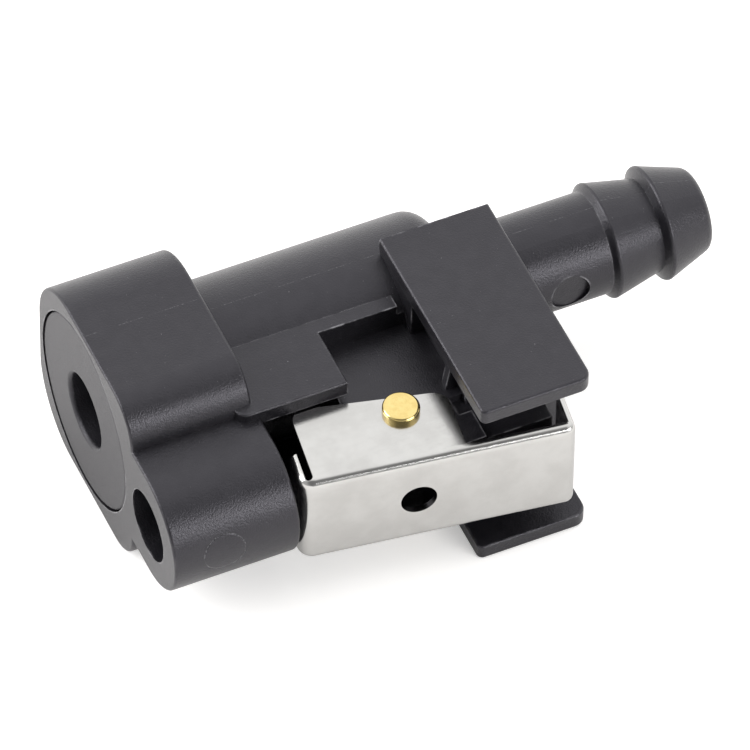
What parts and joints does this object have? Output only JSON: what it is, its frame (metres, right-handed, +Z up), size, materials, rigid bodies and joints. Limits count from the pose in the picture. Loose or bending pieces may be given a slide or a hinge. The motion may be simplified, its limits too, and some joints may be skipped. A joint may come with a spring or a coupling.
{
  "type": "fuel hose quick connector",
  "caption": "Dark moulded quick-disconnect hose coupling with a valved port, guide-pin socket, sprung steel latch between finger guards and a barbed hose tail.",
  "frame": {"origin": "middle of the bounding box, on the plane the coupling lies on", "axes": "+X from the port face to the tip of the hose tail, -Y towards the latch, +Z up"},
  "size_m": [0.0598, 0.0332, 0.0201],
  "materials": {
    "body_plastic": "satin, fine moulded grain",
    "retainer_plastic": "satin",
    "black_acetal": "smooth",
    "seal_rubber": "smooth",
    "latch_steel": "bright rolled stainless sheet",
    "spring_steel": "drawn wire",
    "pin_brass": "polished"
  },
  "bodies": {
    "housing": {"body": "body_plastic", "port_retainer": "retainer_plastic", "port_seal": "seal_rubber", "valve_seat": "black_acetal", "valve_spring": "spring_steel", "latch_spring": "spring_steel"},
    "valve": {"poppet": "black_acetal", "poppet_seal": "seal_rubber"},
    "lever": {"latch": "latch_steel", "pivot_pin": "pin_brass"}
  },
  "joints": [
    {"name": "latch_press", "type": "hinge", "parent": "housing", "child": "lever", "pos_m": [-0.0061, -0.00877, 0.01005], "axis": [0, 0, 1], "range_deg": [0, 9.6], "stiffness_Nm_per_rad": 0.1, "springref_deg": -20.05, "deforming": ["latch_spring"]},
    {"name": "poppet_open", "type": "slide", "parent": "housing", "child": "valve", "axis": [1, 0, 0], "range_m": [0, 0.003], "stiffness_N_per_m": 400, "springref_m": -0.003, "deforming": ["valve_spring"]}
  ]
}
